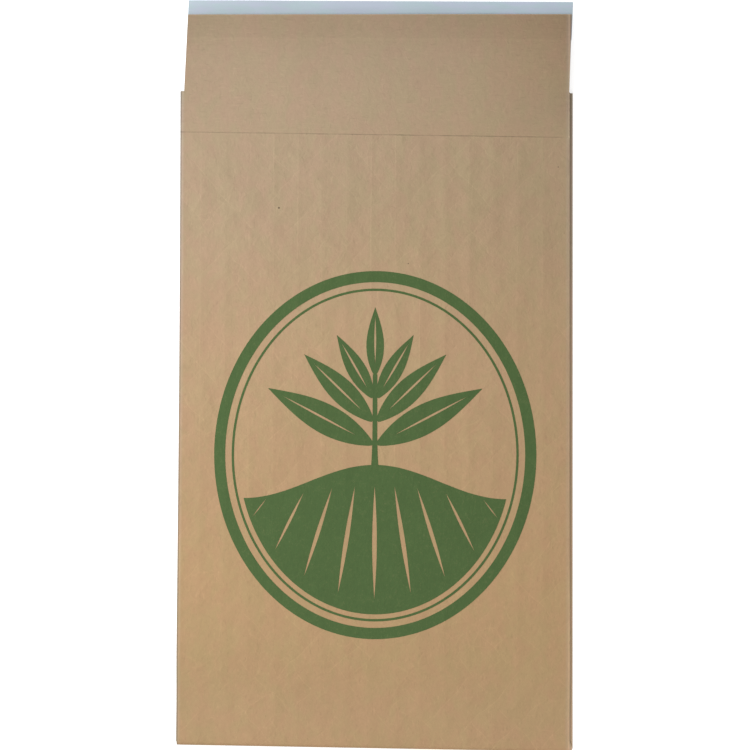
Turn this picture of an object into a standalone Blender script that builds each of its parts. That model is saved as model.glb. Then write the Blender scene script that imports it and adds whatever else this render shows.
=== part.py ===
"""Expandable paper mailer: a gusseted kraft sleeve that lies flat, printed face up.

Metres, +Z up. +Y runs from the closed bottom to the flap and +X to the reader's right. The origin is the middle of
the mailer's box, on the surface that it lies on. Inside the functions, x = 0 is the middle of the front panel and
y = 0 the bottom fold; one empty then carries every piece to the origin.
"""

import math

import bmesh
import bpy

# Sleeve
PANEL_WIDTH = 0.303
BODY_LENGTH = 0.508
GUSSET_DEPTH = 0.051
LOFT = 0.0095
BACK_SHIFT = 0.0025
CROSS_FALL = 0.0027
PADDED_WALL = 0.0010
PLAIN_WALL = 0.0005
PLAIN_BAND = 0.033
WALL_STEP = 0.001
FOLD_GAP = 0.0003
APEX_RADIUS = 0.0002

# Closed bottom
TAB_LENGTH = 0.030
GLUE_LENGTH = 0.024
GLUE_FILM = 0.0001
PINCH_GAP = 0.0002
PINCH_LENGTH = 0.054
BACK_DROP = 0.008

# Seam on the back
SEAM_WIDTH = 0.022
SEAM_LAP = 0.0005
SEAM_BITE = 0.0003
SEAM_MARGIN = 0.0005

# Flap
FLAP_LENGTH = 0.061
FLAP_INSET = 0.0033
FLAP_LEAN = 0.0026
FLAP_CUT_RISE = 0.0018
FLAP_BEND = 0.036
FLAP_SLOPE = math.radians(0.1)

# Adhesive and its release liner, on the flap's inner side
SEAT_GAP = 0.00005
ADHESIVE_WIDTH = 0.015
ADHESIVE_THICKNESS = 0.0003
ADHESIVE_EDGE = 0.0025
ADHESIVE_END = 0.003
LINER_WIDTH = 0.030
LINER_THICKNESS = 0.0002
LINER_OVERHANG = 0.0106

# Print
INK_THICKNESS = 0.00015
PRINT_WIDTH = 0.249
PRINT_HEIGHT = 0.284
PRINT_CENTRE_Y = 0.2267
PRINT_CENTRE_X = 0.0013
FRAME_LINE = 0.0086
INNER_LINE = 0.0018
LINE_SPACE = 0.0050
FIELD_SPACE = 0.0036
HORIZON_Y = -0.021
HILL_HEIGHT = 0.013
FURROWS = 9
FURROW_CROWDING = 0.55
FURROW_START = 0.14
FURROW_END = 0.90
FURROW_SLIMNESS = 0.021
STEM_HALF_WIDTH = 0.0018
STEM_FOOT = 0.016
STEM_LENGTH = 0.070
LEAF_PAIRS = 3
LOWEST_LEAF_LENGTH = 0.092
HIGHEST_LEAF_LENGTH = 0.056
LOWEST_LEAF_ANGLE = math.radians(62)
HIGHEST_LEAF_ANGLE = math.radians(30)
TOP_LEAF_LENGTH = 0.052
LEAF_SLIMNESS = 0.118
LEAF_FOOT_HALF_WIDTH = 0.0012
MIDRIB_HALF_WIDTH = 0.0008

# Fineness of the curves
ARC_STEPS = 8
WRAP_STEPS = 10
PINCH_STEPS = 8
BEND_STEPS = 5
RING_POINTS = 96
HORIZON_POINTS = 14
LEAF_POINTS = 12
SLOT_POINTS = 9

# Worked out from the values above
HALF_WIDTH = PANEL_WIDTH / 2
CREASE_RADIUS = PADDED_WALL + FOLD_GAP / 2
PINCHED_BACK = PADDED_WALL + GLUE_FILM
PINCHED_TOP = PINCHED_BACK + 4 * CREASE_RADIUS + PINCH_GAP
LOFTED_TOP = SEAM_LAP + LOFT
WRAP_RADIUS = PINCHED_TOP / 2
LENGTH = BODY_LENGTH + FLAP_LENGTH + LINER_OVERHANG
FLAP_RIGHT = HALF_WIDTH - CREASE_RADIUS
FLAP_LEFT = FLAP_INSET - HALF_WIDTH
CROSS_SLOPE = CROSS_FALL / PANEL_WIDTH

KRAFT = (0.485, 0.337, 0.202, 1.0)
INK = (0.084, 0.141, 0.050, 1.0)
ADHESIVE = (0.620, 0.560, 0.420, 1.0)
LINER = (0.450, 0.540, 0.600, 1.0)


def clear_scene():
    """Empty the file that the script runs in."""
    for obj in list(bpy.data.objects):
        bpy.data.objects.remove(obj, do_unlink=True)


def make_collection(name):
    collection = bpy.data.collections.new(name)
    bpy.context.scene.collection.children.link(collection)
    return collection


def make_material(name, colour, roughness):
    material = bpy.data.materials.new(name)
    material.use_nodes = True
    material.diffuse_color = colour
    shader = material.node_tree.nodes["Principled BSDF"]
    shader.inputs["Base Color"].default_value = colour
    shader.inputs["Roughness"].default_value = roughness
    shader.inputs["Metallic"].default_value = 0.0
    return material


def ease(t):
    """A half cosine that goes from 0 to 1 as t does."""
    t = min(max(t, 0.0), 1.0)
    return (1 - math.cos(math.pi * t)) / 2


def arc(centre, radius, start, end, steps):
    """Points of an arc about centre, with both ends; angles in degrees."""
    turn = math.radians(end - start) / steps
    first = math.radians(start)
    return [
        (centre[0] + radius * math.cos(first + turn * i), centre[1] + radius * math.sin(first + turn * i))
        for i in range(steps + 1)
    ]


def front_height(y):
    """Height of the front's outer face: low over the glued bottom, then up to the sleeve's loft."""
    return PINCHED_TOP + (LOFTED_TOP - PINCHED_TOP) * ease((y - GLUE_LENGTH) / PINCH_LENGTH)


def back_height(y):
    """Height of the back's outer face: on the folded tab, then down to the thickness of the seam's lap."""
    return PINCHED_BACK + (SEAM_LAP - PINCHED_BACK) * ease((y - TAB_LENGTH) / BACK_DROP)


def flap_height(reach):
    """Height of the flap's outer face at a distance from the mouth: it bends, then runs straight to its edge."""
    bent = min(reach, FLAP_BEND)
    fall = bent * bent / (2 * FLAP_BEND) + max(reach - FLAP_BEND, 0.0)
    return LOFTED_TOP - math.tan(FLAP_SLOPE) * fall


def section(y):
    """The sleeve's outer face across y, as x and z: front, right gusset, back and left gusset."""
    top, bottom = front_height(y), back_height(y)
    middle = (top + bottom) / 2
    edge = HALF_WIDTH - CREASE_RADIUS
    apex = HALF_WIDTH - GUSSET_DEPTH
    upper, lower = top - CREASE_RADIUS, bottom + CREASE_RADIUS
    tuck = APEX_RADIUS + BACK_SHIFT / 2
    points = [(-edge, top), (FLAP_LEFT, top)]
    points += arc((edge, upper), CREASE_RADIUS, 90, -90, ARC_STEPS)
    points += arc((apex + tuck, middle), APEX_RADIUS, 90, 270, ARC_STEPS)
    points += arc((edge + BACK_SHIFT, lower), CREASE_RADIUS, 90, -90, ARC_STEPS)
    points += arc((BACK_SHIFT - edge, lower), CREASE_RADIUS, 270, 90, ARC_STEPS)
    points += arc((tuck - 2 * APEX_RADIUS - apex, middle), APEX_RADIUS, -90, 90, ARC_STEPS)
    points += arc((-edge, upper), CREASE_RADIUS, 270, 90, ARC_STEPS)[:-1]
    return points


def body_stations():
    """Places along the sleeve where its section is made, from the bottom fold to the mouth."""
    pinch = [GLUE_LENGTH + PINCH_LENGTH * i / PINCH_STEPS for i in range(PINCH_STEPS + 1)]
    drop = [TAB_LENGTH, TAB_LENGTH + BACK_DROP / 2, TAB_LENGTH + BACK_DROP]
    line = BODY_LENGTH - PLAIN_BAND
    return sorted({WRAP_RADIUS, *pinch, *drop, line - WALL_STEP, line, BODY_LENGTH})


def wrap_profile():
    """The outer face of the tab and of the bottom fold, as y and z, from the tab's edge up to the front."""
    turn = arc((WRAP_RADIUS, WRAP_RADIUS), WRAP_RADIUS, 270, 90, WRAP_STEPS)
    return [(TAB_LENGTH, 0.0), *turn[:-1]]


def flap_profile():
    """The flap's outer face beyond the mouth, as y and z."""
    reaches = [FLAP_BEND * (i + 1) / BEND_STEPS for i in range(BEND_STEPS)] + [FLAP_LENGTH]
    return [(BODY_LENGTH + reach, flap_height(reach)) for reach in reaches]


def sheet_mesh():
    """The folded sheet's outer face: closed rings along the sleeve, with the front's columns running on at both ends.

    Every cut and fold across the sleeve is a little out of square and falls towards the right, and the flap's own cut
    falls less than the others.
    """
    bm = bmesh.new()
    weight = bm.verts.layers.deform.new()

    def add_row(points, wall):
        row = []
        for x, y, z in points:
            vert = bm.verts.new((x, y - CROSS_SLOPE * x, z))
            vert[weight][0] = wall / PADDED_WALL
            row.append(vert)
        return row

    def join(lower, upper, closed):
        for i in range(len(lower) if closed else len(lower) - 1):
            j = (i + 1) % len(lower)
            bm.faces.new((lower[i], lower[j], upper[j], upper[i]))

    columns = (-FLAP_RIGHT, FLAP_LEFT, FLAP_RIGHT)
    tab_rows = [add_row([(x, y, z) for x in columns], PADDED_WALL) for y, z in wrap_profile()]
    rings = []
    for y in body_stations():
        wall = PADDED_WALL if y < BODY_LENGTH - PLAIN_BAND else PLAIN_WALL
        rings.append(add_row([(x, y, z) for x, z in section(y)], wall))
    flap_rows = [rings[-1][1:3]]
    for y, z in flap_profile():
        share = (y - BODY_LENGTH) / FLAP_LENGTH
        lean, rise = FLAP_LEAN * share, FLAP_CUT_RISE / PANEL_WIDTH * share
        flap_rows.append(add_row([(x + lean, y + rise * x, z) for x in columns[1:]], PLAIN_WALL))
    tab_rows.append(rings[0][:3])

    for rows, closed in ((tab_rows, False), (rings, True), (flap_rows, False)):
        for lower, upper in zip(rows, rows[1:]):
            join(lower, upper, closed)
    mesh = bpy.data.meshes.new("mailer")
    bm.to_mesh(mesh)
    bm.free()
    return mesh


def add_helper(name, low, high, helpers):
    """A box between two corners that a Boolean uses; it isn't part of the mailer."""
    size = [b - a for a, b in zip(low, high)]
    bm = bmesh.new()
    bmesh.ops.create_cube(bm, size=1.0)
    bmesh.ops.scale(bm, vec=size, verts=bm.verts)
    bmesh.ops.translate(bm, vec=[(a + b) / 2 for a, b in zip(low, high)], verts=bm.verts)
    mesh = bpy.data.meshes.new(name)
    bm.to_mesh(mesh)
    bm.free()
    helper = bpy.data.objects.new(name, mesh)
    helper.hide_render = True
    helper.display_type = "WIRE"
    helpers.objects.link(helper)
    return helper


def add_union(obj, helper):
    modifier = obj.modifiers.new(helper.name, "BOOLEAN")
    modifier.operation = "UNION"
    modifier.solver = "EXACT"
    modifier.object = helper


def add_mailer(parts, helpers, material):
    """The one folded sheet: sleeve, gussets, flap and bottom tab, glued shut at the bottom and along the back."""
    mesh = sheet_mesh()
    mesh.materials.append(material)
    mailer = bpy.data.objects.new("mailer", mesh)
    parts.objects.link(mailer)
    mailer.vertex_groups.new(name="wall")
    wall = mailer.modifiers.new("wall", "SOLIDIFY")
    wall.thickness = PADDED_WALL
    wall.offset = -1.0
    wall.use_even_offset = True
    wall.vertex_group = "wall"

    glue_side = HALF_WIDTH - CREASE_RADIUS
    glue = add_helper(
        "bottom_glue",
        (BACK_SHIFT - glue_side, 2 * WRAP_RADIUS, PADDED_WALL / 2),
        (glue_side, GLUE_LENGTH, PINCHED_TOP - PADDED_WALL / 2),
        helpers,
    )
    seam = add_helper(
        "back_seam",
        (-SEAM_WIDTH / 2, TAB_LENGTH + BACK_DROP, 0.0),
        (SEAM_WIDTH / 2, BODY_LENGTH - SEAM_MARGIN, SEAM_LAP + SEAM_BITE),
        helpers,
    )
    add_union(mailer, glue)
    add_union(mailer, seam)
    return [mailer, glue, seam]


def add_strip(name, width, thickness, length, reach, depth, material, parts):
    """A flat strip under the flap, centred at a reach from the mouth and a depth below the flap's outer face."""
    bpy.ops.mesh.primitive_cube_add(size=1.0)
    strip = bpy.context.object
    strip.name = strip.data.name = name
    for vert in strip.data.vertices:
        vert.co.x *= length
        vert.co.y *= width
        vert.co.z *= thickness
    for collection in list(strip.users_collection):
        collection.objects.unlink(strip)
    parts.objects.link(strip)
    strip.data.materials.append(material)
    middle = (FLAP_LEFT + FLAP_RIGHT) / 2 + FLAP_LEAN
    inward = depth + thickness / 2
    strip.location = (
        middle,
        BODY_LENGTH + reach - inward * math.sin(FLAP_SLOPE) - CROSS_SLOPE * middle,
        flap_height(reach) - inward * math.cos(FLAP_SLOPE),
    )
    strip.rotation_euler = (-FLAP_SLOPE, 0.0, -math.atan(CROSS_SLOPE))
    return strip


def add_closure(parts, adhesive_material, liner_material):
    """The adhesive strip on the flap's inner side, and the release liner over it that stands past the flap's edge."""
    flap_width = FLAP_RIGHT - FLAP_LEFT
    adhesive_depth = PLAIN_WALL + SEAT_GAP
    liner_depth = adhesive_depth + ADHESIVE_THICKNESS + SEAT_GAP
    adhesive = add_strip(
        "adhesive_strip",
        ADHESIVE_WIDTH,
        ADHESIVE_THICKNESS,
        flap_width - 2 * ADHESIVE_END,
        FLAP_LENGTH - ADHESIVE_EDGE - ADHESIVE_WIDTH / 2,
        adhesive_depth,
        adhesive_material,
        parts,
    )
    liner = add_strip(
        "release_liner",
        LINER_WIDTH,
        LINER_THICKNESS,
        flap_width,
        FLAP_LENGTH + LINER_OVERHANG - LINER_WIDTH / 2,
        liner_depth,
        liner_material,
        parts,
    )
    return [adhesive, liner]


def ellipse(half_width, half_height, count):
    """A closed ellipse about the print's middle."""
    turns = [2 * math.pi * i / count for i in range(count)]
    return [(half_width * math.cos(a), half_height * math.sin(a)) for a in turns]


def horizon(x, half_width):
    """Height of the field's upper edge: one low hill across the ellipse."""
    return HORIZON_Y + HILL_HEIGHT * math.cos(math.pi * x / half_width)


def leaf_edges(foot, angle, length):
    """A leaf's lower and upper edge, foot to tip: its half width is a sine of the way along it, on a narrow foot."""
    along = (math.sin(angle), math.cos(angle))
    across = (math.cos(angle), -math.sin(angle))
    lower, upper = [], []
    for i in range(LEAF_POINTS + 1):
        t = i / LEAF_POINTS
        half = LEAF_FOOT_HALF_WIDTH * (1 - t) + LEAF_SLIMNESS * length * math.sin(math.pi * t**0.85)
        for edge, side in ((lower, 1), (upper, -1)):
            edge.append(tuple(foot[k] + along[k] * length * t + side * across[k] * half for k in (0, 1)))
    return lower, upper


def slot(start, end, half_width, count):
    """A closed slot from start to end, pointed at both."""
    reach = (end[0] - start[0], end[1] - start[1])
    length = math.hypot(*reach)
    across = (reach[1] / length, -reach[0] / length)
    sides = [(i / count, 1) for i in range(count)] + [(1 - i / count, -1) for i in range(count)]
    points = []
    for t, side in sides:
        half = side * half_width * math.sin(math.pi * t)
        points.append(tuple(start[k] + reach[k] * t + across[k] * half for k in (0, 1)))
    return points


def leaf_plan(stem_foot):
    """Foot, angle and length of each leaf on the stem's right side, lowest first, and of the one at its top."""
    leaves = []
    for i in range(LEAF_PAIRS):
        t = i / (LEAF_PAIRS - 1)
        height = stem_foot + STEM_FOOT + (STEM_LENGTH - STEM_FOOT) * i / LEAF_PAIRS
        angle = LOWEST_LEAF_ANGLE + (HIGHEST_LEAF_ANGLE - LOWEST_LEAF_ANGLE) * t
        length = LOWEST_LEAF_LENGTH + (HIGHEST_LEAF_LENGTH - LOWEST_LEAF_LENGTH) * t
        leaves.append(((STEM_HALF_WIDTH, height), angle, length))
    top = ((0.0, stem_foot + STEM_LENGTH), 0.0, TOP_LEAF_LENGTH)
    return leaves, top


def mirrored(points):
    """The same points on the other side of the middle, in the opposite order."""
    return [(-x, y) for x, y in reversed(points)]


def midrib(foot, angle, length):
    """The bare line along a leaf, short of its foot and its tip."""
    ends = [(foot[0] + math.sin(angle) * length * t, foot[1] + math.cos(angle) * length * t) for t in (0.16, 0.86)]
    return slot(*ends, MIDRIB_HALF_WIDTH, SLOT_POINTS)


def sprig_outlines():
    """The sprig's right side from the hill to its tip, and the bare midribs of all its leaves."""
    leaves, top = leaf_plan(HORIZON_Y + HILL_HEIGHT)
    side, ribs = [], [midrib(*top)]
    for leaf in leaves:
        lower, upper = leaf_edges(*leaf)
        side += lower + upper[-2::-1]
        rib = midrib(*leaf)
        ribs += [rib, mirrored(rib)]
    side += leaf_edges(*top)[0]
    return side, ribs


def furrow(place, edge_x, half_width, half_height, turn):
    """A bare furrow at a place from -1 to 1 across the field: it runs from the horizon out to the field's bowl."""
    angle = place * (math.pi / 2 + turn) - math.pi / 2
    top_x = edge_x * (FURROW_CROWDING * place + (1 - FURROW_CROWDING) * place**3)
    top = (top_x, horizon(top_x, edge_x))
    foot = (half_width * math.cos(angle), half_height * math.sin(angle))
    ends = [[top[k] + (foot[k] - top[k]) * t for k in (0, 1)] for t in (FURROW_START, FURROW_END)]
    return slot(*ends, FURROW_SLIMNESS * math.dist(*ends), SLOT_POINTS)


def field_outlines():
    """The field with the sprig that grows from it, as one outline, and the bare furrows and midribs inside it."""
    inset = FRAME_LINE + LINE_SPACE + INNER_LINE + FIELD_SPACE
    half_width, half_height = PRINT_WIDTH / 2 - inset, PRINT_HEIGHT / 2 - inset
    turn = math.asin((HORIZON_Y - HILL_HEIGHT) / half_height)
    edge_x = half_width * math.cos(turn)
    shore_x = [STEM_HALF_WIDTH + (edge_x - STEM_HALF_WIDTH) * i / HORIZON_POINTS for i in range(HORIZON_POINTS)]
    shore = [(x, horizon(x, edge_x)) for x in shore_x]
    side, holes = sprig_outlines()
    sweep = math.pi - 2 * abs(turn)
    steps = RING_POINTS // 2
    bowl = []
    for i in range(steps + 1):
        angle = turn - sweep * i / steps
        bowl.append((half_width * math.cos(angle), half_height * math.sin(angle)))
    right = side[::-1] + shore
    outline = mirrored(right) + right[1:] + bowl
    for i in range(FURROWS):
        place = (2 * i - FURROWS + 1) / FURROWS
        holes.append(furrow(place, edge_x, half_width, half_height, turn))
    return [outline, *holes]


def add_print(name, outlines, material, parts):
    """A flat patch of ink on the front, filled between its outlines."""
    curve = bpy.data.curves.new(name, "CURVE")
    curve.dimensions = "2D"
    curve.fill_mode = "BOTH"
    curve.extrude = INK_THICKNESS / 2
    for outline in outlines:
        spline = curve.splines.new("POLY")
        spline.points.add(len(outline) - 1)
        for point, (x, y) in zip(spline.points, outline):
            point.co = (x, y, 0.0, 1.0)
        spline.use_cyclic_u = True
    curve.materials.append(material)
    patch = bpy.data.objects.new(name, curve)
    patch.location = (PRINT_CENTRE_X, PRINT_CENTRE_Y, LOFTED_TOP + SEAT_GAP + INK_THICKNESS / 2)
    parts.objects.link(patch)
    return patch


def add_artwork(parts, material):
    """The printed oval: a broad frame line, a thin line inside it, and a furrowed field with a leafy sprig."""
    def ring(inset, line):
        half_width, half_height = PRINT_WIDTH / 2 - inset, PRINT_HEIGHT / 2 - inset
        outer = ellipse(half_width, half_height, RING_POINTS)
        return [outer, ellipse(half_width - line, half_height - line, RING_POINTS)]

    return [
        add_print("print_frame", ring(0.0, FRAME_LINE), material, parts),
        add_print("print_line", ring(FRAME_LINE + LINE_SPACE, INNER_LINE), material, parts),
        add_print("print_field", field_outlines(), material, parts),
    ]


def main():
    clear_scene()
    parts = make_collection("expandable_paper_mailer")
    helpers = make_collection("helpers")
    kraft = make_material("kraft", KRAFT, 0.85)
    ink = make_material("ink", INK, 0.75)
    adhesive = make_material("adhesive", ADHESIVE, 0.30)
    liner = make_material("liner", LINER, 0.35)

    pieces = add_mailer(parts, helpers, kraft)
    pieces += add_closure(parts, adhesive, liner)
    pieces += add_artwork(parts, ink)

    origin = bpy.data.objects.new("origin", None)
    origin.location = (-BACK_SHIFT / 2, -LENGTH / 2, 0.0)
    parts.objects.link(origin)
    for piece in pieces:
        piece.parent = origin
    bpy.context.view_layer.update()


main()
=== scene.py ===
"""Expandable paper mailer lying flat: the folded kraft sheet, its print, its closure, and a plain studio.

Panel coordinates, in metres, are those of the flat front: x = 0 is its middle and y = 0 the bottom fold.
A station is a place along the sleeve before its cuts fall to the right, and a reach is a place along the
flap from the mouth. to_frame() carries panel coordinates to the CAD frame.
"""

import math

import bmesh
import bpy
import numpy as np
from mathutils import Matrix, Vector


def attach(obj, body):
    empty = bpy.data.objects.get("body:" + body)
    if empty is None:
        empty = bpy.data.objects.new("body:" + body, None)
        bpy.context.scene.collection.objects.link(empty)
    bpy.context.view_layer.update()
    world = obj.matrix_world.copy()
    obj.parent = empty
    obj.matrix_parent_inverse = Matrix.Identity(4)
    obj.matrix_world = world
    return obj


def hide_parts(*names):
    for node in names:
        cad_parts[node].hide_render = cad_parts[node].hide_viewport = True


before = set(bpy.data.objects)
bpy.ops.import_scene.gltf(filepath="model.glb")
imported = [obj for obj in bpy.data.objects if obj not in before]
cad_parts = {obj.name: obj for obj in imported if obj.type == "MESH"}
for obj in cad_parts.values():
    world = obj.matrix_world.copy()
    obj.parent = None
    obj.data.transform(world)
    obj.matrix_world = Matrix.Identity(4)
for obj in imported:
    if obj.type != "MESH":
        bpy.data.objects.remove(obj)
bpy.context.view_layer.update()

bl_info = {
    "name": "Expandable Paper Mailer",
    "version": (1, 0, 0),
    "blender": (4, 5, 0),
    "location": "3D View > Sidebar > Mailer",
    "description": "Builds a gusseted kraft mailer with ribbed padding, a print and a peel-off closure",
    "category": "Add Mesh",
}

# Sleeve
PANEL_WIDTH = 0.303
BODY_LENGTH = 0.508
GUSSET_DEPTH = 0.051
BACK_SHIFT = 0.0025
PADDED_WALL = 0.0010
PLAIN_WALL = 0.0005
PLAIN_BAND = 0.033
WALL_STEP = 0.001
CREASE_RADIUS = 0.00115
CREASE_REACH = 0.0005
APEX_RADIUS = 0.0002
GLUE_LENGTH = 0.024
PINCH_LENGTH = 0.054
PINCHED_TOP = 0.0059
LOFTED_TOP = 0.0100
TAB_LENGTH = 0.030
BACK_DROP = 0.008
PINCHED_BACK = 0.0011
SEAM_LAP = 0.0005
SEAM_WIDTH = 0.022
SEAM_MARGIN = 0.0005
CROSS_SLOPE = 0.0027 / PANEL_WIDTH

# Flap, adhesive and liner
FLAP_LENGTH = 0.061
FLAP_INSET = 0.0030
FLAP_LEAN = 0.0026
FLAP_CUT_SLOPE = 0.0018 / PANEL_WIDTH
FLAP_BEND = 0.036
FLAP_FALL = math.tan(math.radians(0.1))
ADHESIVE_WIDTH = 0.015
ADHESIVE_EDGE = 0.0025
ADHESIVE_END = 0.003
ADHESIVE_THICKNESS = 0.0003
SEAT_GAP = 0.00005
LINER_WIDTH = 0.030
LINER_THICKNESS = 0.0002
LINER_OVERHANG = 0.0106

# Print
PRINT_CENTRE = (0.0013, 0.2267)
PRINT_HALF = (0.1245, 0.142)
FRAME_LINE = 0.0086
INNER_LINE = 0.0018
LINE_SPACE = 0.0050
FIELD_SPACE = 0.0036
HORIZON_Y = -0.021
HILL_HEIGHT = 0.013
FURROWS = 9
FURROW_CROWDING = 0.55
FURROW_ENDS = (0.14, 0.90)
FURROW_SLIMNESS = 0.021
STEM_HALF_WIDTH = 0.0018
STEM_FLARE = 0.0012
STEM_ROOT = 0.003
STEM_FOOT = 0.016
STEM_LENGTH = 0.070
STEM_LIFT = 0.00002
LEAF_ANGLES = (62, 46, 30)
LEAF_LENGTHS = (0.092, 0.074, 0.056)
TOP_LEAF_LENGTH = 0.052
LEAF_SLIMNESS = 0.118
LEAF_FOOT_HALF_WIDTH = 0.0012
MIDRIB_HALF_WIDTH = 0.0008
MIDRIB_ENDS = (0.16, 0.86)

# Worked out from the values above
HALF_WIDTH = PANEL_WIDTH / 2
FRONT_EDGE = HALF_WIDTH - CREASE_REACH
FLAP_LEFT = FLAP_INSET - HALF_WIDTH
WRAP_RADIUS = PINCHED_TOP / 2
LINE_Y = BODY_LENGTH - PLAIN_BAND
TO_FRAME = (-BACK_SHIFT / 2, -(BODY_LENGTH + FLAP_LENGTH + LINER_OVERHANG) / 2)

# Share of the front's height at a fold's middle, and the height of the middle above that
FOLD_LEVELS = {"front": (1.0, -CREASE_RADIUS), "middle": (0.5, 0.0), "back": (0.0, CREASE_RADIUS)}

# Rows and columns of the grids
FRONT_COLUMNS = 225
GUSSET_STEPS = (7, 7, 65, 7, 7)
BODY_ROWS = 98
LINE_ROWS = 13
LINE_ROWS_REACH = 0.0025
ROW_SPACE = 0.0015
SEAM_ROWS = 90
SEAM_COLUMNS = 13

# Play of the folded sheet: how far a paper fold strays from its straight line
LINE_SLOPE = 0.0069
LEFT_PLAY = 0.0005
RIGHT_PLAY = 0.0007
RIGHT_FLARE = 0.0019
BACK_PLAY = 0.0003
BACK_PROUD = 0.0016
GUSSET_PLAY = 0.0004
FLAP_PLAY = 0.0003
FLAP_TAPER = 0.002
SEAM_PLAY = 0.0002

# Relief of the sheet
RIB_START = 0.1346
RIB_WANDER = 0.05
CREST_BLUNTNESS = 0.035
LINE_FADE = 0.004
GROOVE_REACH = 0.0007
CALM_EDGE = 0.030
OVER_ADHESIVE = 0.00012
CORNER_CURL = 0.00025

# Drifts: pitch across and along, seed, and strength
LATTICE = 64
LATTICE_SHIFT = (32.37, 32.71)
SHEET_WAVES = (((0.085, 0.100), 11, 1.0), ((0.028, 0.048), 12, 0.35), ((0.0095, 0.016), 13, 0.20))
LINER_WAVES = (((0.046, 0.030), 51, 1.0), ((0.015, 0.020), 52, 0.4))
RIB_WANDER_PITCH = (0.030, 0.120)
RIB_PATCH_PITCH = (0.019, 0.050)
GROOVE_PITCH = (0.020, 1.0)
GUSSET_PITCH = (0.05, 0.07)
SEAM_PITCH = (1.0, 0.03)
FRONT_RIBS_SEED = 21
BACK_RIBS_SEED = 41
GROOVE_SEED = 14
GUSSET_SEED = 31
SEAM_SEED = 61

# Gains of red, green and blue
WHITE = (1.0, 1.0, 1.0)
PINKISH = (1.022, 0.986, 1.008)
GREENISH = (0.978, 1.015, 0.984)
FOOT_TINT = (1.055, 1.0, 0.90)
TOP_TINT = (0.960, 1.0, 1.11)
LINER_GREENISH = (0.965, 1.015, 0.975)
LINER_VIOLET = (1.03, 0.98, 1.03)
# Painted shade on the liner's left and painted light on its right
LINER_LEFT_PAINTED_SHADE = (1.0, 0.95, 0.91)
LINER_RIGHT_PAINTED_LIGHT = (1.09, 1.07, 1.055)
THICK_ADHESIVE = (0.82, 0.74, 0.55)

# Gains by which the kraft's masks tint it
KRAFT_TINTS = {
    "yellower below slant": (0.995, 1.0, 0.950),
    "reddish": (1.03, 0.985, 0.97),
    "middle": (1.05, 1.012, 1.0),
    # Pales and greys the back's fold: painted light on a strip that lies in shade
    "rim": (1.14, 1.20, 1.32),
    "bluer folds": (1.02, 1.08, 1.20),
    # Bluer on the left fold, with the darkening below: painted shade
    "left fold shade": (0.96, 1.00, 1.08),
    # Greyer towards the flap's end: painted shade
    "flap end shade": (0.990, 0.972, 0.955),
}

# Shares by which the kraft's masks lighten or darken it
KRAFT_TONES = {
    "fibres": 0.04,
    "plain fibres": 0.05,
    "pulp": 0.15,
    "clouds": 0.10,
    "dark flecks": -0.075,
    "pale flecks": 0.065,
    # Painted highlights along the creases' edges and the ribs' crests
    "creases": 0.045,
    "crests": 0.060,
    # Painted shade in the groove, and a painted highlight just below it
    "groove": -0.42,
    "highlight below groove": 0.03,
    # Painted shade on the left fold
    "left fold shade": -0.29,
    # Painted highlight on the right fold
    "turned": 0.26,
    # The back's fold: painted shadow of the front's fold, a painted highlight at its outer edge, and painted
    # shade towards the top
    "rim": -0.09,
    "rim edge highlight": 0.32,
    "rim top shade": -0.14,
    # Painted shade along the flap, darker towards its end
    "flap": -0.088,
    "flap end shade": -0.026,
    "over adhesive": -0.026,
    # Painted highlight on the step up onto the adhesive
    "adhesive step highlight": 0.012,
    "cut edge": 0.22,
    "middle top": 0.05,
    "plain sides": -0.065,
    # Painted shade towards the right of the plain band and the flap
    "plain right shade": -0.036,
}

# Creases in the finish: slant, start and noise shift of each family of facets, and heights in metres
FACETS = ((1.12, 0.0, 3.1), (-1.05, 0.37, 7.7))
FACET_PITCH = 0.0378
FACET_HEIGHT = 0.00066
FACET_EDGE_GAIN = 1.5
WEB_SLANT = 1.1
WEB_HEIGHT = 0.00009
CREST_HEIGHT = 0.00004
FIBRE_HEIGHT = 0.00003
PULP_HEIGHT = 0.00030

# Specks of bark in the front: panel x, station and radius
SPECKS = (
    (-0.0739, 0.4172, 0.0010),
    (0.0928, 0.1437, 0.0008),
    (0.0268, 0.3748, 0.0006),
    (0.1425, 0.4508, 0.0006),
)
SPECK_CORE = 0.35
SPECK_DARKNESS = 0.75

# Camera, fitted to the photograph's outline, with its turn in degrees
CAMERA_AIM = (-0.00032, -0.00133, 0.0)
CAMERA_TURN = (1.756, 1.834, 0.209)
CAMERA_DISTANCE = 1.4
CAMERA_LENS = 86.27
CAMERA_SENSOR = 36.0

# Floor, and the lamps' names, places, sizes, powers and colours
FLOOR_HALF = 4.0
FLOOR_DROP = 0.0002
FLOOR_GLOW = 0.66
LAMPS = (
    ("left softbox", (-0.72, 0.14, 0.40), 0.4, 3.85, (0.89, 0.95, 1.0)),
    ("cool top", (-0.84, 0.77, 0.69), 0.5, 4.29, (0.77, 0.92, 1.0)),
    ("warm foot", (0.05, -0.76, 0.89), 0.6, 3.41, (1.0, 0.98, 0.97)),
)


def length_setting(name, description, default):
    return bpy.props.FloatProperty(
        name=name, description=description, default=default, unit="LENGTH", precision=6, min=0.0
    )


def colour_setting(name, description, default):
    return bpy.props.FloatVectorProperty(
        name=name, description=description, default=default, subtype="COLOR", size=3, min=0.0, max=1.0
    )


def level_setting(name, description, default):
    return bpy.props.FloatProperty(name=name, description=description, default=default, min=0.0)


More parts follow.
